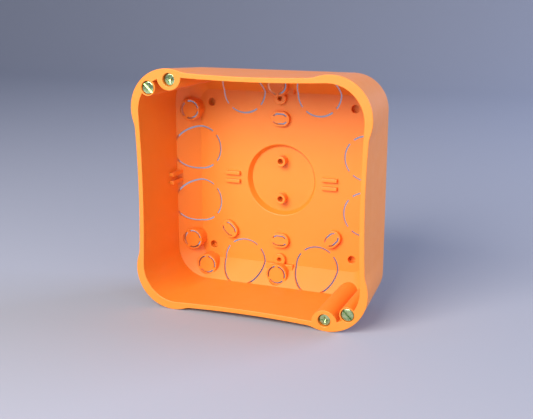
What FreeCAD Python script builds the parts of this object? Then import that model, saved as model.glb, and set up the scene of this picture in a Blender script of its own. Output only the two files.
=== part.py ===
import FreeCAD, Part
import math
import os

# Flush back box: one moulded square box with knock-outs, two lid screws and two clamp screws.
# It is modelled lying on its back, with the inner face of the flat back at z = 0 and the opening up,
# and is then stood on its lower side with the opening to the front. Sizes are in millimetres.

# Shell
side_span = 110.0  # outside, across the middle of two opposite sides
inner_depth = 45.0  # rim to the inner face of the flat back
wall = 2.0
corner_radius = 15.8  # inside, where the walls end and the sloping edge starts
edge_run = 9.5  # sloping edge round the back, across
edge_rise = 8.7  # sloping edge round the back, along the depth

# Rim
lobe_rise = 2.5  # how far each corner lobe stands out past the sides
lobe_radius = 18.9
lobe_blend_radius = 12.0
side_bow_radius = 560.0  # the sides are slightly hollow at the rim
rim_wall = 2.3
mouth_growth = 0.7  # how far the corners of the mouth open out past the foot of the walls

# Round recess in the middle of the back, with two screw posts
recess_radius = 17.9
recess_taper = 1.5
recess_depth = 3.0
post_pitch = 19.0
post_radius = 2.6
post_rise = 1.2  # post top above the flat back
post_hole_radius = 1.4

# Screw holes in the corners of the flat back, in closed bosses behind it that end level with the recess
corner_hole_inset = 6.3
corner_hole_radius = 1.9
corner_hole_depth = 3.8
corner_boss_wall = 1.5

# Small screw bosses beside the top and bottom pads, each in front of a step in the bend
boss_inset = 2.7
boss_radius = 3.1
boss_height = 2.3
boss_hole_radius = 1.15
boss_hole_depth = 3.0
step_inset = 0.5
step_width = 14.4

# Large knock-outs, each centred on the bend between flat back and sloping edge
knockout_radius = 10.85
knockout_pitch_sides = 27.6  # pairs on the left and right
knockout_pitch_ends = 38.8  # pairs on the top and bottom
knockout_web = 0.9
knockout_margin = 1.1  # thin wall beyond the slit
slit_width = 0.85
knockout_bridge = 2.6
knockout_bridge_angle = 45.0

# Small round knock-outs on raised pads
pad_height = 6.3
pad_outset = 3.0  # pad centre beyond the bend
pad_radius = 5.4
pad_web = 1.0
pad_lining = 0.6  # wall left round the hollow behind a pad
pad_land = 0.3  # flat face beyond the slit
side_pad_pitch = 67.3
end_pad_offset = 38.5
middle_pad_outset = 4.1  # middle pads at the top and bottom, beyond the bend
ring_radius = 4.3
ring_bridge = 1.5

# Oblong knock-outs on low pads
oblong_pad_height = 2.3
oblong_middle_inset = 12.7
oblong_corner_inset = 16.1
oblong_straight = 2.4
oblong_radius = 2.4
oblong_pad_margin = 1.3
oblong_web = 1.0
oblong_bridge = 2.4

# Rib pairs that guide a partition plate
partition_gap = 2.2
rib_width = 1.9
back_rib_height = 1.8
back_rib_length = 7.6
back_rib_clearance = 3.8  # from the edge of the round recess
wall_rib_reach = 2.2
wall_rib_top = 17.3

# Lid screws and their bosses, upper left and lower right
lid_boss_radius = 6.1
lid_boss_inset = 1.4  # boss axis from the outer side
lid_screw_inset = 2.6  # screw axis from the outer side
lid_screw_setback = 17.4  # screw axis from the next outer side
lid_head_radius = 2.75
lid_head_height = 1.8
lid_head_sink = 1.2
lid_shank_radius = 1.75
lid_shank_length = 20.0
cross_width = 0.8
cross_span = 3.2
cross_depth = 1.1

# Clamp screws in the same two corners
clamp_column_radius = 3.8
clamp_head_radius = 2.9
clamp_head_height = 1.6
clamp_head_sink = 0.4
clamp_shank_radius = 1.75
clamp_shank_length = 30.0
slot_width = 0.8
slot_depth = 0.8

# Clearances
head_clearance = 0.25
thread_clearance = 0.05
bore_run_out = 2.0
cut_margin = 1.0

# Derived sizes
side_half = side_span / 2
lobe_half = side_half + lobe_rise
inner_half = side_half - wall
flat_half = inner_half - edge_run
corner_centre = inner_half - corner_radius
lobe_centre = lobe_half - lobe_radius
edge_slope = math.atan2(edge_rise, edge_run)
outer_foot_z = edge_rise - wall * (1 - math.sin(edge_slope)) / math.cos(edge_slope)
back_z = -recess_depth - wall
overall_depth = inner_depth - back_z
slit_half = slit_width / 2
pad_offset = flat_half + pad_outset
middle_pad_offset = flat_half + middle_pad_outset
rib_offset = (partition_gap + rib_width) / 2
diagonal = math.sqrt(0.5)

UP = FreeCAD.Vector(0, 0, 1)
ORIGIN = FreeCAD.Vector(0, 0, 0)


def point(x, y, z=0.0):
    return FreeCAD.Vector(x, y, z)


def turned(shape, angle):
    """The shape turned about the box's axis."""
    return shape.rotated(ORIGIN, UP, angle)


def mirrored(p):
    """The point mirrored in the diagonal of a corner."""
    return point(p.y, p.x, p.z)


def towards(start, end, distance):
    """The point at a distance from start, on the way to end."""
    return start + (end - start).normalize() * distance


def arc(start, middle, end):
    return Part.Arc(start, middle, end).toShape()


def line(start, end):
    return Part.LineSegment(start, end).toShape()


def closed_outline(quarter, z):
    """Closed outline from the edges of one side and the corner after it, repeated four times."""
    edges = [turned(edge, angle) for angle in (0, 90, 180, 270) for edge in quarter]
    wire = Part.Wire(edges)
    wire.translate(UP * z)
    return wire


def circles_meet(first, first_radius, second, second_radius):
    """Meeting point of two circles, on the right of the way from the first centre to the second."""
    way = second - first
    distance = way.Length
    along = (distance**2 + first_radius**2 - second_radius**2) / (2 * distance)
    across = math.sqrt(first_radius**2 - along**2)
    way.normalize()
    return first + way * along + point(-way.y, way.x) * across


def corner_arc(half, centre):
    """Quarter arc at the corner of a square outline."""
    middle = centre + (half - centre) * diagonal
    return arc(point(half, centre), point(middle, middle), point(centre, half))


def rim_blend():
    """Curve from a hollow side to the lobe after it: start, middle and end of the blend, then the
    middle and end of the stretch of the lobe that swings back towards the side."""
    bow = point(side_half + side_bow_radius, 0)
    lobe = point(lobe_centre, lobe_centre)
    blend = circles_meet(bow, side_bow_radius - lobe_blend_radius, lobe, lobe_radius + lobe_blend_radius)
    side_end = towards(bow, blend, side_bow_radius)
    lobe_start = towards(lobe, blend, lobe_radius)
    lobe_top = point(lobe_half, lobe_centre)
    blend_middle = towards(blend, (side_end + lobe_start) * 0.5, lobe_blend_radius)
    lobe_middle = towards(lobe, (lobe_start + lobe_top) * 0.5, lobe_radius)
    return side_end, blend_middle, lobe_start, lobe_middle, lobe_top


def rim_outline(z):
    """Outer outline at the rim: hollow sides blended into round corner lobes."""
    side_end, blend_middle, lobe_start, lobe_middle, lobe_top = rim_blend()
    quarter = [
        arc(point(side_end.x, -side_end.y), point(side_half, 0), side_end),
        arc(side_end, blend_middle, lobe_start),
        arc(lobe_start, lobe_middle, lobe_top),
        corner_arc(lobe_half, lobe_centre),
        arc(mirrored(lobe_top), mirrored(lobe_middle), mirrored(lobe_start)),
        arc(mirrored(lobe_start), mirrored(blend_middle), mirrored(side_end)),
    ]
    return closed_outline(quarter, z)


def split_square_outline(half, centre, z):
    """Rounded square whose sides are split like those of the rim, so that the two can be joined."""
    side_end, _, lobe_start, _, _ = rim_blend()
    quarter = [
        line(point(half, -side_end.y), point(half, side_end.y)),
        line(point(half, side_end.y), point(half, lobe_start.y)),
        line(point(half, lobe_start.y), point(half, centre)),
        corner_arc(half, centre),
        line(point(centre, half), point(lobe_start.y, half)),
        line(point(lobe_start.y, half), point(side_end.y, half)),
    ]
    return closed_outline(quarter, z)


def square_outline(half, centre, z):
    quarter = [line(point(half, -centre), point(half, centre)), corner_arc(half, centre)]
    return closed_outline(quarter, z)


def mouth_outline(z):
    """Inner outline at the rim: hollow sides between corner rounds."""
    half = inner_half + mouth_growth
    side = arc(point(half, -corner_centre), point(side_half - rim_wall, 0), point(half, corner_centre))
    return closed_outline([side, corner_arc(half, corner_centre)], z)


def flat_growth(thickness):
    """How much wider the flat back is on the outside of a wall of this thickness."""
    return thickness * (1 - math.cos(edge_slope)) / math.sin(edge_slope)


def outer_form():
    """Outside of the box: lobed rim, square walls and a sloping edge round the flat back."""
    sections = [
        rim_outline(inner_depth),
        split_square_outline(side_half, lobe_centre, outer_foot_z),
        split_square_outline(flat_half + flat_growth(wall), lobe_centre, -wall),
    ]
    return Part.makeLoft(sections, True, True)


def cavity():
    """Space inside the box, open past the rim."""
    sections = [
        mouth_outline(inner_depth + cut_margin),
        mouth_outline(inner_depth),
        square_outline(inner_half, corner_centre, edge_rise),
        square_outline(flat_half, corner_centre, 0),
    ]
    return Part.makeLoft(sections, True, True)


def cylinder(radius, x, y, low, high):
    return Part.makeCylinder(radius, high - low, point(x, y, low))


def cone(low_radius, high_radius, x, y, low, high):
    return Part.makeCone(low_radius, high_radius, high - low, point(x, y, low))


def block(x_low, x_high, y_low, y_high, low, high):
    return Part.makeBox(x_high - x_low, y_high - y_low, high - low, point(x_low, y_low, low))


def obround(straight, radius, low, high):
    """Upright prism with round ends, long in x."""
    middle = block(-straight / 2, straight / 2, -radius, radius, low, high)
    ends = [cylinder(radius, x, 0, low, high) for x in (-straight / 2, straight / 2)]
    return middle.fuse(ends).removeSplitter()


def slit_arc(radius, start, end, low, high):
    """Round slit about the z axis, from the start angle to the end angle in degrees."""
    sector = Part.makeCylinder(radius + slit_half, high - low, point(0, 0, low), UP, end - start)
    return turned(sector.cut(cylinder(radius - slit_half, 0, 0, low, high)), start)


def opposite_pair(shape):
    """A shape and its copy turned half way round the box's axis."""
    return [shape, turned(shape, 180)]


def clamp_axis():
    """Distance of a clamp screw from the box's middle planes: its column stands in the corner."""
    return corner_centre + corner_radius * diagonal


# Positions of what repeats. Each knock-out and pad also has the angle that points to the middle.
def knockout_places():
    """Two large knock-outs on each side of the box."""
    places = []
    for angle, pitch in ((0, knockout_pitch_sides), (90, knockout_pitch_ends)):
        for turn in (angle, angle + 180):
            places += [(flat_half, step, turn) for step in (-pitch / 2, pitch / 2)]
    return places


def side_pad_places():
    """Two round pads on the left, and one at the bottom beside the corner that has no screws."""
    left = [(pad_offset, step, 180) for step in (-side_pad_pitch / 2, side_pad_pitch / 2)]
    return left + [(pad_offset, -end_pad_offset, 270)]


def within_walls(shape):
    """The part of a shape that lies between the side walls."""
    room = block(-inner_half, inner_half, -inner_half, inner_half, -wall - cut_margin, inner_depth)
    return shape.common(room)


def knockout_pockets():
    """Shallow pockets behind the large knock-outs, which leave them thinner than the wall."""
    half = flat_half + flat_growth(knockout_web)
    reach = (edge_rise + knockout_web) / math.tan(edge_slope)
    front = Part.makeLoft([
        square_outline(half + reach, corner_centre, edge_rise),
        square_outline(half, corner_centre, -knockout_web),
    ], True, True)
    radius = knockout_radius + slit_half + knockout_margin
    pockets = []
    for x, y, turn in knockout_places():
        disc = turned(cylinder(radius, x, y, -wall - cut_margin, edge_rise), turn)
        pockets.append(within_walls(disc).cut(front))
    return pockets


def knockout_slits():
    """Slits of the large knock-outs: two bridges face the middle, and the disc stays on the wall."""
    bridge = math.degrees(knockout_bridge / knockout_radius / 2)
    low = -wall - cut_margin
    high = edge_rise + cut_margin
    inner = knockout_bridge_angle - bridge
    outer = knockout_bridge_angle + bridge
    arcs = [
        slit_arc(knockout_radius, 180 - inner, 180 + inner, low, high),
        slit_arc(knockout_radius, 0, 180 - outer, low, high),
        slit_arc(knockout_radius, 180 + outer, 360, low, high),
    ]
    slits = []
    for x, y, turn in knockout_places():
        slits += [within_walls(turned(one.translated(point(x, y)), turn)) for one in arcs]
    return slits


def ring_slits(x, y, turn):
    """Slit ring of a small knock-out with three bridges, the first one facing the middle."""
    bridge = math.degrees(ring_bridge / ring_radius / 2)
    low = pad_height - pad_web - cut_margin
    high = edge_rise + cut_margin
    slits = []
    for start in (180, 300, 60):
        one = slit_arc(ring_radius, start + bridge, start + 120 - bridge, low, high)
        slits.append(turned(one.translated(point(x, y)), turn))
    return slits


def oblong_places():
    """Two oblong knock-outs on the upright middle line and two in the lower corners."""
    middle = flat_half - oblong_middle_inset
    corner = flat_half - oblong_corner_inset
    return [(0, middle, 0), (0, -middle, 0), (-corner, -corner, -45), (corner, -corner, 45)]


def placed(shape, x, y, turn):
    """The shape turned about its own axis and set down at a place."""
    return turned(shape, turn).translated(point(x, y))


def oblong_slits():
    """Two facing slits round an oblong, joined to the pad at both ends."""
    low = -wall - cut_margin
    high = oblong_pad_height + cut_margin
    outside = obround(oblong_straight, oblong_radius + slit_half, low, high)
    inside = obround(oblong_straight, oblong_radius - slit_half, low, high)
    reach = oblong_straight / 2 + oblong_radius + slit_width
    bridge = block(-reach, reach, -oblong_bridge / 2, oblong_bridge / 2, low, high)
    return outside.cut(inside).cut(bridge)


def partition_ribs():
    """Pairs of ribs on the right-hand wall and on the back beside the recess."""
    back_start = recess_radius + back_rib_clearance
    ribs = []
    for y in (-rib_offset, rib_offset):
        low = y - rib_width / 2
        high = y + rib_width / 2
        ribs.append(block(back_start, back_start + back_rib_length, low, high, -wall, back_rib_height))
        ribs.append(block(inner_half - wall_rib_reach, side_half, low, high, 0, wall_rib_top))
    return ribs


def moulded_body():
    """The box itself, in one piece with its bosses, pads, ribs and knock-outs."""
    outside = outer_form()
    corner_hole = flat_half - corner_hole_inset
    corners = [(x, y) for x in (-corner_hole, corner_hole) for y in (-corner_hole, corner_hole)]
    posts = [(0, -post_pitch / 2), (0, post_pitch / 2)]
    bosses = [(0, -flat_half + boss_inset), (0, flat_half - boss_inset)]
    rings = side_pad_places() + [(middle_pad_offset, 0, turn) for turn in (90, 270)]
    clamp = clamp_axis()
    lid_x = -side_half + lid_screw_setback
    lid_y = side_half - lid_screw_inset
    floor_radius = recess_radius - recess_taper

    inner = [turned(cylinder(pad_radius, x, y, -wall, pad_height), turn) for x, y, turn in rings]
    step = block(flat_half - step_inset, side_half, -step_width / 2, step_width / 2, -wall, boss_height)
    inner += [turned(step, turn) for turn in (90, 270)]
    inner += [cylinder(boss_radius, x, y, -wall, boss_height) for x, y in bosses]
    oblong_pad = obround(oblong_straight, oblong_radius + oblong_pad_margin, -wall, oblong_pad_height)
    inner += [placed(oblong_pad, x, y, turn) for x, y, turn in oblong_places()]
    for rib in partition_ribs():
        inner += opposite_pair(rib)
    inner += opposite_pair(cylinder(lid_boss_radius, lid_x, side_half - lid_boss_inset, 0, inner_depth))
    inner += opposite_pair(cylinder(clamp_column_radius, -clamp, clamp, 0, inner_depth))

    behind = [cone(floor_radius + wall, recess_radius + wall, 0, 0, back_z, -wall)]
    behind += [cylinder(corner_hole_radius + corner_boss_wall, x, y, back_z, -wall) for x, y in corners]

    body = outside.cut(cavity())
    body = body.fuse([piece.common(outside) for piece in inner] + behind)
    body = body.cut(cone(floor_radius, recess_radius, 0, 0, -recess_depth, 0))
    body = body.fuse([cylinder(post_radius, x, y, -recess_depth, post_rise) for x, y in posts])

    holes = [cylinder(post_hole_radius, x, y, -recess_depth, post_rise) for x, y in posts]
    holes += [cylinder(corner_hole_radius, x, y, -corner_hole_depth, cut_margin) for x, y in corners]
    boss_floor = boss_height - boss_hole_depth
    holes += [cylinder(boss_hole_radius, x, y, boss_floor, boss_height) for x, y in bosses]
    holes += opposite_pair(screw_hole(
        lid_x, lid_y, lid_head_radius, lid_head_height + lid_head_sink, lid_shank_radius, lid_shank_length
    ))
    holes += opposite_pair(screw_hole(
        -clamp, clamp, clamp_head_radius, clamp_head_height + clamp_head_sink,
        clamp_shank_radius, clamp_shank_length
    ))
    land_radius = ring_radius + slit_half + pad_land
    for x, y, turn in rings:
        hollow = cylinder(pad_radius - pad_lining, x, y, -wall - cut_margin, pad_height - pad_web)
        land = cylinder(land_radius, x, y, pad_height, edge_rise + cut_margin)
        holes += [turned(hollow, turn), turned(land, turn)] + ring_slits(x, y, turn)
    oblong_hollow_radius = oblong_radius + oblong_pad_margin - pad_lining
    oblong_top = oblong_pad_height - oblong_web
    oblong_hollow = obround(oblong_straight, oblong_hollow_radius, -wall - cut_margin, oblong_top)
    oblong_slit = oblong_slits()
    for x, y, turn in oblong_places():
        holes += [placed(oblong_hollow, x, y, turn), placed(oblong_slit, x, y, turn)]
    holes += knockout_pockets() + knockout_slits()
    return body.cut(holes).removeSplitter()


def screw_hole(x, y, head_radius, seat_depth, shank_radius, shank_length):
    """Stepped hole from the rim: room for the head, and a bore a little longer than the shank."""
    seat = inner_depth - seat_depth
    room = cylinder(head_radius + head_clearance, x, y, seat, inner_depth + cut_margin)
    bore = cylinder(shank_radius + thread_clearance, x, y, seat - shank_length - bore_run_out, seat)
    return room.fuse(bore)


def screw(x, y, head_radius, head_height, sink, shank_radius, shank_length, recess):
    """Screw with a flat round head whose underside sits on the seat of its hole."""
    top = inner_depth - sink
    seat = top - head_height
    head = cylinder(head_radius, x, y, seat, top)
    shank = cylinder(shank_radius, x, y, seat - shank_length, seat)
    return head.fuse(shank).cut(recess.translated(point(x, y, top))).removeSplitter()


def lid_screws():
    """Two screws with a cross recess."""
    bar = block(-cross_span / 2, cross_span / 2, -cross_width / 2, cross_width / 2, -cross_depth, cut_margin)
    recess = bar.fuse(turned(bar, 90))
    one = screw(
        -side_half + lid_screw_setback, side_half - lid_screw_inset, lid_head_radius, lid_head_height,
        lid_head_sink, lid_shank_radius, lid_shank_length, recess
    )
    return Part.makeCompound(opposite_pair(one))


def clamp_screws():
    """Two screws with a straight slot along the corner's tangent."""
    reach = clamp_head_radius + cut_margin
    bar = block(-reach, reach, -slot_width / 2, slot_width / 2, -slot_depth, cut_margin)
    clamp = clamp_axis()
    one = screw(
        -clamp, clamp, clamp_head_radius, clamp_head_height, clamp_head_sink,
        clamp_shank_radius, clamp_shank_length, turned(bar, -45)
    )
    return Part.makeCompound(opposite_pair(one))


def stood_up(shape):
    """The shape with the opening to the front, the lobes on the ground and the depth centred."""
    upright = shape.rotated(ORIGIN, point(1, 0, 0), 90)
    return upright.translated(point(0, inner_depth - overall_depth / 2, lobe_half))


os.makedirs("parts", exist_ok=True)
nodes = {"box_body": moulded_body(), "lid_screws": lid_screws(), "clamp_screws": clamp_screws()}
for name, shape in nodes.items():
    stood_up(shape).exportStep(f"parts/{name}.step")
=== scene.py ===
import math

import bmesh
import bpy
import numpy as np
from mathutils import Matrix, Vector


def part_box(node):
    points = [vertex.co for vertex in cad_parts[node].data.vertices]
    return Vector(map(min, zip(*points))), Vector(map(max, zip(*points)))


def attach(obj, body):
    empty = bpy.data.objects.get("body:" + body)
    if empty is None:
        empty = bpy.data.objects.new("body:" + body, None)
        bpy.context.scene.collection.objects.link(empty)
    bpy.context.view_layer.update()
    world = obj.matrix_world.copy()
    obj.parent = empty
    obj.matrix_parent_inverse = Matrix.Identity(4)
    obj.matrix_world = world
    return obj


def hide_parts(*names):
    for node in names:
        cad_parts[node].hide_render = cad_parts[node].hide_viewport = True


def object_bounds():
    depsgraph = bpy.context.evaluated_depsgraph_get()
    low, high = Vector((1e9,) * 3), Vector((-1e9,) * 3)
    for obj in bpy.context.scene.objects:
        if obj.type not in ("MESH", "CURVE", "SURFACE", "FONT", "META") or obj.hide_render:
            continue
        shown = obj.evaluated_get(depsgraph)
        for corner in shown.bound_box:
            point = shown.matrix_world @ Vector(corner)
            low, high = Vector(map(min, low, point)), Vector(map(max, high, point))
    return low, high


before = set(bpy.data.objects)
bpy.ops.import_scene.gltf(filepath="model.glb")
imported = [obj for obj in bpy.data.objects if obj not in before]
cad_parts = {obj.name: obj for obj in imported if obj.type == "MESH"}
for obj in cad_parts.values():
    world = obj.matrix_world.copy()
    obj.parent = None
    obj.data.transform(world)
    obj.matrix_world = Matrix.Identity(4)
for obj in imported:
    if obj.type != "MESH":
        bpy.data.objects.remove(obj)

cad_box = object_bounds()

# The box: one injection moulding of orange polypropylene, from a steel mould with a fine spark-eroded
# grain. Its walls, pads, ribs and slits are those of the solid, and the edges that stand free get the
# small radius that a mould leaves.
MM = 0.001
EDGE_RADIUS = 0.3 * MM
EDGE_STEPS = 3
LOWEST_ROUNDED_WALL = 1.05 * MM  # lower ones are the thin webs, whose slits stay crisp
WELD_DISTANCE = 0.002 * MM
LEVEL_TOLERANCE = 0.001 * MM
FLAT_ANGLE = math.radians(0.3)
CREASE_ANGLE = math.radians(35)
LEVEL_FACE = 0.99  # least y of the normal of a face that looks straight to the front or back
STEEPEST_WALL = 0.5  # largest y of the normal of a wall that drops from such a face
DRIFT_WIDTH = 28 * MM
POLISH_WIDTH = 9 * MM
GRAIN_WIDTH = 0.7 * MM
GRAIN_HEIGHT = 0.05 * MM
MIX_FIRST, MIX_SECOND, MIX_RESULT = 6, 7, 2  # sockets of a Mix node that hold colours


def linear(hex_colour):
    """sRGB hex to linear light: value / 12.92 up to 0.04045, and ((value + 0.055) / 1.055) ^ 2.4 above."""
    values = np.array([int(hex_colour[i : i + 2], 16) / 255 for i in (1, 3, 5)])
    low = values / 12.92
    high = ((values + 0.055) / 1.055) ** 2.4
    return (*np.where(values <= 0.04045, low, high).tolist(), 1.0)


def new_material(name):
    """An empty node material with its principled shader."""
    material = bpy.data.materials.new(name)
    material.use_nodes = True
    return material, material.node_tree, material.node_tree.nodes["Principled BSDF"]


def add(tree, kind, links=(), inputs=(), **settings):
    """Adds a node: settings are its properties, inputs its values, links (input, node, output)."""
    made = tree.nodes.new(kind)
    for name, value in settings.items():
        setattr(made, name, value)
    for name, value in dict(inputs).items():
        made.inputs[name].default_value = value
    for name, source, output in links:
        tree.links.new(source.outputs[output], made.inputs[name])
    return made


def free_edge(edge):
    """True for the edges of the rim and of the hindmost faces, and for the outer edge between another
    face that looks out of the opening and a wall that drops from it."""
    heights = [corner.co.y for corner in edge.verts]
    side, face = sorted(edge.link_faces, key=lambda face: abs(face.normal.y))
    drop = max(abs(corner.co.y - heights[0]) for corner in side.verts)
    outermost = min(heights[0] - cad_box[0][1], cad_box[1][1] - heights[0]) < LEVEL_TOLERANCE
    return (
        edge.is_convex
        and abs(heights[0] - heights[1]) < LEVEL_TOLERANCE
        and abs(face.normal.y) > LEVEL_FACE
        and abs(side.normal.y) < STEEPEST_WALL
        and (outermost or face.normal.y < 0 and drop > LOWEST_ROUNDED_WALL)
    )


def finished_piece(name, mesh, material, node):
    """Links a smooth-shaded mesh as the piece that stands for a node of the frame."""
    mesh.shade_smooth()
    mesh.set_sharp_from_angle(angle=CREASE_ANGLE)
    mesh.materials.append(material)
    piece = bpy.data.objects.new(name, mesh)
    bpy.context.scene.collection.objects.link(piece)
    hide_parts(node)
    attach(piece, "root")
    return piece


# Polypropylene has a soft sheen at low angles. The sheen is tinted pale blue, which is a painted cool
# reflection that gives the outer walls their pale haze.
# Its colour drifts a little where the melt flowed together. The grain is finer on the real box: it is drawn
# coarser so that it shows.
orange_pp, tree, shader = new_material("moulded_orange_polypropylene")
place = add(tree, "ShaderNodeTexCoord")
drift = add(
    tree, "ShaderNodeTexNoise", [("Vector", place, "Object")],
    {"Scale": 1 / DRIFT_WIDTH, "Detail": 3.0, "Roughness": 0.55},
)
colour = add(tree, "ShaderNodeMix", [("Factor", drift, "Fac")], data_type="RGBA")
colour.inputs[MIX_FIRST].default_value = linear("#EA8424")
colour.inputs[MIX_SECOND].default_value = linear("#EE8B2A")
tree.links.new(colour.outputs[MIX_RESULT], shader.inputs["Base Color"])
polish = add(
    tree, "ShaderNodeTexNoise", [("Vector", place, "Object")],
    {"Scale": 1 / POLISH_WIDTH, "Detail": 4.0, "Roughness": 0.6},
)
sheen = add(
    tree, "ShaderNodeMapRange", [("Value", polish, "Fac")],
    {"From Min": 0.3, "From Max": 0.7, "To Min": 0.4, "To Max": 0.5},
)
tree.links.new(sheen.outputs["Result"], shader.inputs["Roughness"])
grain = add(
    tree, "ShaderNodeTexNoise", [("Vector", place, "Object")],
    {"Scale": 1 / GRAIN_WIDTH, "Detail": 2.0, "Roughness": 0.5},
)
relief = add(
    tree, "ShaderNodeBump", [("Height", grain, "Fac")], {"Strength": 0.5, "Distance": GRAIN_HEIGHT},
)
tree.links.new(relief.outputs["Normal"], shader.inputs["Normal"])
shader.inputs["IOR"].default_value = 1.56
# Painted reflection: the sheen's pale blue tint stands in for a cool surround seen at low angles.
shader.inputs["Sheen Weight"].default_value = 0.13
shader.inputs["Sheen Roughness"].default_value = 0.25
shader.inputs["Sheen Tint"].default_value = linear("#C8D8FF")

shell = bmesh.new()
shell.from_mesh(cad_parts["box_body"].data)
bmesh.ops.remove_doubles(shell, verts=shell.verts, dist=WELD_DISTANCE)
bmesh.ops.dissolve_limit(shell, angle_limit=FLAT_ANGLE, verts=shell.verts, edges=shell.edges)
bmesh.ops.bevel(
    shell, geom=[edge for edge in shell.edges if free_edge(edge)], affect="EDGES",
    offset_type="OFFSET", offset=EDGE_RADIUS, segments=EDGE_STEPS, profile=0.5, loop_slide=True,
)
shell_mesh = bpy.data.meshes.new("moulded_box")
shell.to_mesh(shell_mesh)
shell.free()
shell_mesh.attributes.remove(shell_mesh.attributes["custom_normal"])  # those of the solid's own mesh
moulded_box = finished_piece("moulded_box", shell_mesh, orange_pp, "box_body")
even_shading = moulded_box.modifiers.new("even_shading", "WEIGHTED_NORMAL")
even_shading.keep_sharp = True


# The lid screws: cold-headed steel with a cross recess, zinc plated and yellow passivated, which gives
# a greenish straw tint. They are turned into the bosses in two opposite corners, a little below the rim.
ARM_COLUMNS = 7
SECTOR_COLUMNS = 13
HEAD_EDGE = 0.35 * MM
HEAD_EDGE_ROWS = 6
HEAD_FLAT = 2 * MM  # radius up to which the rows of the top are even
THREAD_PITCH = 0.7 * MM
THREAD_DEPTH = 0.28 * MM
THREAD_START = 0.8 * MM  # plain neck under the head
ROWS_A_TURN = 6
TIP_LENGTH = 1.2 * MM
TIP_RADIUS = 0.6 * MM
HAIR = 1.001  # a row beside a step in the recess stands this much further out


def screw_profile(head_radius, head_height, crown, shank_radius, length, steps):
    """Radius and height of each row, from the middle of the head to the tip. The top falls by crown times
    the square of its share of the radius, its edge is a quarter circle, and the shank is straight."""
    flat = np.concatenate([*(np.linspace(*step) for step in steps), [head_radius - HEAD_EDGE]])
    bend = np.linspace(0, np.pi / 2, HEAD_EDGE_ROWS)[1:]
    rows = int(length / THREAD_PITCH * ROWS_A_TURN)
    radius = np.concatenate([
        flat, head_radius - HEAD_EDGE * (1 - np.sin(bend)), [head_radius],
        np.full(rows, shank_radius), [TIP_RADIUS, 0],
    ])
    top = -crown * (flat / head_radius) ** 2
    height = np.concatenate([
        top, top[-1] - HEAD_EDGE * (1 - np.cos(bend)), [-head_height],
        np.linspace(-head_height, -head_height - length + TIP_LENGTH, rows), [-head_height - length] * 2,
    ])
    return radius, height


def recess_columns(radius, arms, half_width):
    """Angle of each column at each row, and which columns are in an arm of the recess. The columns keep to
    the straight sides of the arms: an arm reaches arcsin(half width / radius) to each side of its axis."""
    sector = np.pi / arms
    reach = np.minimum(sector, np.arcsin(np.minimum(1, half_width / np.maximum(radius, half_width))))
    axis = np.repeat(np.arange(arms) * 2 * sector, ARM_COLUMNS + SECTOR_COLUMNS)
    in_arm = np.tile(np.arange(ARM_COLUMNS + SECTOR_COLUMNS) < ARM_COLUMNS, arms)
    shares = [np.linspace(-1, 1, ARM_COLUMNS), np.linspace(0, 1, SECTOR_COLUMNS)]
    across = np.tile(np.concatenate(shares), arms)
    arm_angle = across * reach[:, None]
    sector_angle = reach[:, None] + across * (2 * sector - 2 * reach[:, None])
    return axis + np.where(in_arm, arm_angle, sector_angle), in_arm, reach >= sector


def screw_surface(profile, arms, half_width, depth, turn, head_height):
    """A screw about the z axis with its head up: the profile turned round, cut down to the recess, and with
    a thread whose radius falls and rises as a triangle wave once a pitch, turning with the angle."""
    radius, height = profile
    angle, in_arm, in_middle = recess_columns(radius, arms, half_width)
    recessed = in_arm | in_middle[:, None]
    floor = np.where(recessed, -depth[:, None], 0.0)
    lowered = np.minimum(height[:, None], floor)
    along = -head_height - THREAD_START - height[:, None]
    wave = np.abs(2 * ((along / THREAD_PITCH - angle / (2 * np.pi)) % 1) - 1)
    threaded = np.clip(along / THREAD_PITCH, 0, 1) * (radius[:, None] > TIP_RADIUS)
    turned = radius[:, None] - THREAD_DEPTH * wave * threaded
    return np.stack([turned * np.cos(angle + turn), turned * np.sin(angle + turn), lowered], -1)


def screw_pair(name, surface, places, top):
    """Sets a copy of the screw at each place, with its head to the front, and closes seams and poles."""
    rows, columns, _ = surface.shape
    local_x, local_y, local_z = np.moveaxis(surface, -1, 0)
    points = [np.stack([x + local_x, top - local_z, z + local_y], -1).reshape(-1, 3) for x, z in places]
    near = np.arange(rows - 1)[:, None] * columns + np.arange(columns)
    next_column = np.arange(rows - 1)[:, None] * columns + (np.arange(columns) + 1) % columns
    faces = np.stack([near, next_column, next_column + columns, near + columns], -1).reshape(-1, 4)
    faces = np.concatenate([faces + copy * rows * columns for copy in range(len(places))])
    mesh = bpy.data.meshes.new(name)
    mesh.from_pydata(np.concatenate(points).tolist(), [], faces.tolist())
    metal = bmesh.new()
    metal.from_mesh(mesh)
    bmesh.ops.remove_doubles(metal, verts=metal.verts, dist=WELD_DISTANCE)
    bmesh.ops.dissolve_degenerate(metal, edges=metal.edges, dist=WELD_DISTANCE)
    bmesh.ops.recalc_face_normals(metal, faces=metal.faces)
    metal.to_mesh(mesh)
    metal.free()
    return mesh


def opposite_corners(node, head_radius):
    """Axes of a node's two screws, upper left and lower right, the front of their heads and their length."""
    low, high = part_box(node)
    places = [(low[0] + head_radius, high[2] - head_radius), (high[0] - head_radius, low[2] + head_radius)]
    return places, low[1], high[1] - low[1]


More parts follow.
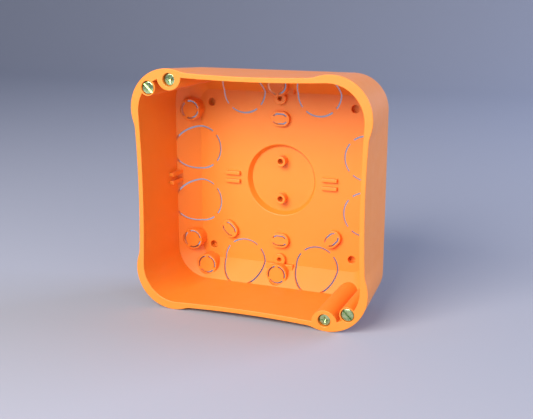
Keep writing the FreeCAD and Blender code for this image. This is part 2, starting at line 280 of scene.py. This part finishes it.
# Passivated zinc is bright and a little uneven: the film is thicker, and so greener, in patches.
FILM_WIDTH = 0.9 * MM
DIMPLE_WIDTH = 0.35 * MM
DIMPLE_HEIGHT = 0.02 * MM
zinc, tree, shader = new_material("yellow_passivated_zinc")
place = add(tree, "ShaderNodeTexCoord")
film = add(
    tree, "ShaderNodeTexNoise", [("Vector", place, "Object")],
    {"Scale": 1 / FILM_WIDTH, "Detail": 3.0, "Roughness": 0.6},
)
patches = add(
    tree, "ShaderNodeMapRange", [("Value", film, "Fac")], {"From Min": 0.35, "From Max": 0.65},
)
colour = add(tree, "ShaderNodeMix", [("Factor", patches, "Result")], data_type="RGBA")
colour.inputs[MIX_FIRST].default_value = linear("#9FBE80")
colour.inputs[MIX_SECOND].default_value = linear("#CFE8B0")
tree.links.new(colour.outputs[MIX_RESULT], shader.inputs["Base Color"])
polish = add(
    tree, "ShaderNodeMapRange", [("Value", film, "Fac")],
    {"From Min": 0.3, "From Max": 0.7, "To Min": 0.14, "To Max": 0.24},
)
tree.links.new(polish.outputs["Result"], shader.inputs["Roughness"])
dimples = add(
    tree, "ShaderNodeTexNoise", [("Vector", place, "Object")],
    {"Scale": 1 / DIMPLE_WIDTH, "Detail": 2.0, "Roughness": 0.5},
)
relief = add(
    tree, "ShaderNodeBump", [("Height", dimples, "Fac")], {"Strength": 0.2, "Distance": DIMPLE_HEIGHT},
)
tree.links.new(relief.outputs["Normal"], shader.inputs["Normal"])
shader.inputs["Metallic"].default_value = 1.0

LID_HEAD_RADIUS, LID_HEAD_HEIGHT, LID_CROWN = 2.75 * MM, 1.8 * MM, 0.12 * MM
SHANK_RADIUS = 1.75 * MM
CROSS_ARMS = 4
CROSS_HALF_WIDTH, CROSS_REACH = 0.4 * MM, 1.6 * MM
CROSS_DEPTH, CROSS_END_DEPTH = 1.1 * MM, 0.5 * MM

lid_places, lid_top, lid_length = opposite_corners("lid_screws", LID_HEAD_RADIUS)
cross_middle = CROSS_HALF_WIDTH / math.sin(math.pi / CROSS_ARMS)
lid_profile = screw_profile(
    LID_HEAD_RADIUS, LID_HEAD_HEIGHT, LID_CROWN, SHANK_RADIUS, lid_length - LID_HEAD_HEIGHT,
    [(0, cross_middle, 5), (cross_middle * HAIR, CROSS_REACH, 9), (CROSS_REACH * HAIR, HEAD_FLAT, 4)],
)
slope = CROSS_DEPTH - (CROSS_DEPTH - CROSS_END_DEPTH) * lid_profile[0] / CROSS_REACH
cross_depth = np.where(lid_profile[0] <= CROSS_REACH, slope, 0.0)
lid_surface = screw_surface(
    lid_profile, CROSS_ARMS, CROSS_HALF_WIDTH, cross_depth, 0.0, LID_HEAD_HEIGHT,
)
lid_mesh = screw_pair("cross_screws", lid_surface, lid_places, lid_top)
finished_piece("cross_screws", lid_mesh, zinc, "lid_screws")


# The clamp screws: slotted screws of the same plated steel in the columns of the same two corners. Their
# slots lie along the corner's tangent, and their heads are almost level with the rim.
CLAMP_HEAD_RADIUS, CLAMP_HEAD_HEIGHT, CLAMP_CROWN = 2.9 * MM, 1.6 * MM, 0.08 * MM
SLOT_HALF_WIDTH, SLOT_DEPTH = 0.4 * MM, 0.8 * MM
SLOT_ARMS = 2
SLOT_TURN = math.radians(-45)

clamp_places, clamp_top, clamp_length = opposite_corners("clamp_screws", CLAMP_HEAD_RADIUS)
clamp_profile = screw_profile(
    CLAMP_HEAD_RADIUS, CLAMP_HEAD_HEIGHT, CLAMP_CROWN, SHANK_RADIUS, clamp_length - CLAMP_HEAD_HEIGHT,
    [(0, SLOT_HALF_WIDTH, 4), (SLOT_HALF_WIDTH * HAIR, HEAD_FLAT, 10)],
)
slot_depth = np.full(len(clamp_profile[0]), SLOT_DEPTH)
clamp_surface = screw_surface(
    clamp_profile, SLOT_ARMS, SLOT_HALF_WIDTH, slot_depth, SLOT_TURN, CLAMP_HEAD_HEIGHT,
)
clamp_mesh = screw_pair("slotted_screws", clamp_surface, clamp_places, clamp_top)
finished_piece("slotted_screws", clamp_mesh, zinc, "clamp_screws")


# The studio: a pale floor that sweeps up behind the box, a large soft light in front on the left, a cool
# soft light behind on the right, a weak one in front on the right, and an even surround.
FLOOR_FRONT, FLOOR_BACK, SWEEP, WALL_TOP, FLOOR_HALF = -5.0, 0.9, 0.7, 2.4, 6.0
SWEEP_ROWS = 24
turn = np.linspace(0, np.pi / 2, SWEEP_ROWS)
profile_y = np.concatenate([[FLOOR_FRONT], FLOOR_BACK + SWEEP * np.sin(turn), [FLOOR_BACK + SWEEP]])
profile_z = np.concatenate([[0.0], SWEEP * (1 - np.cos(turn)), [WALL_TOP]])
across = np.array([-FLOOR_HALF, FLOOR_HALF])
points = np.stack(np.broadcast_arrays(across[None, :], profile_y[:, None], profile_z[:, None]), -1)
rows = np.arange(len(profile_y) - 1)[:, None] * 2
faces = rows + np.array([[0, 1, 3, 2]])
floor_mesh = bpy.data.meshes.new("studio_floor")
floor_mesh.from_pydata(points.reshape(-1, 3).tolist(), [], faces.tolist())
floor_mesh.shade_smooth()
studio_floor = bpy.data.objects.new("studio_floor", floor_mesh)
bpy.context.scene.collection.objects.link(studio_floor)
pale_paper, _, shader = new_material("pale_studio_paper")
shader.inputs["Base Color"].default_value = linear("#A2A4AE")
shader.inputs["Roughness"].default_value = 0.85
floor_mesh.materials.append(pale_paper)

world = bpy.data.worlds.new("studio_surround")
world.use_nodes = True
world.node_tree.nodes["Background"].inputs["Color"].default_value = linear("#C8D2EC")
world.node_tree.nodes["Background"].inputs["Strength"].default_value = 0.48
bpy.context.scene.world = world


def area_light(name, place, aim, width, height, power, colour):
    """A soft light of a width and height at a place, turned to the point it aims at."""
    light = bpy.data.lights.new(name, "AREA")
    light.shape = "RECTANGLE"
    light.size = width
    light.size_y = height
    light.energy = power
    light.color = linear(colour)[:3]
    lamp = bpy.data.objects.new(name, light)
    lamp.location = place
    lamp.rotation_euler = (Vector(aim) - Vector(place)).to_track_quat("-Z", "Y").to_euler()
    lamp.visible_camera = False
    bpy.context.scene.collection.objects.link(lamp)


BOX_MIDDLE = (0, 0, 0.055)
WARM_WHITE, COOL_WHITE = "#FFF8F0", "#C8D8FF"
area_light(
    "key_light", place=(-0.18, -0.7, 0.49), aim=BOX_MIDDLE,
    width=0.6, height=0.48, power=11.7, colour=WARM_WHITE,
)
area_light(
    "side_fill", place=(1.2, 0.75, 0.6), aim=BOX_MIDDLE,
    width=1.0, height=0.5, power=22.0, colour=COOL_WHITE,
)
area_light(
    "front_fill", place=(0.75, -0.65, 0.45), aim=BOX_MIDDLE,
    width=0.6, height=0.4, power=1.4, colour=WARM_WHITE,
)

# The camera stands right of the opening and a little above it, as the photographer did.
eye = Vector((145.93, -371.80, 150.02)) * MM
aim = Vector((9.915, -25.0, 54.155)) * MM
camera = bpy.data.cameras.new("camera")
camera.lens = 58.19
camera.sensor_width = 36.0
viewer = bpy.data.objects.new("camera", camera)
viewer.location = eye
viewer.rotation_euler = (aim - eye).to_track_quat("-Z", "Y").to_euler()
bpy.context.scene.collection.objects.link(viewer)
bpy.context.scene.camera = viewer
bpy.context.scene.view_settings.view_transform = "Standard"
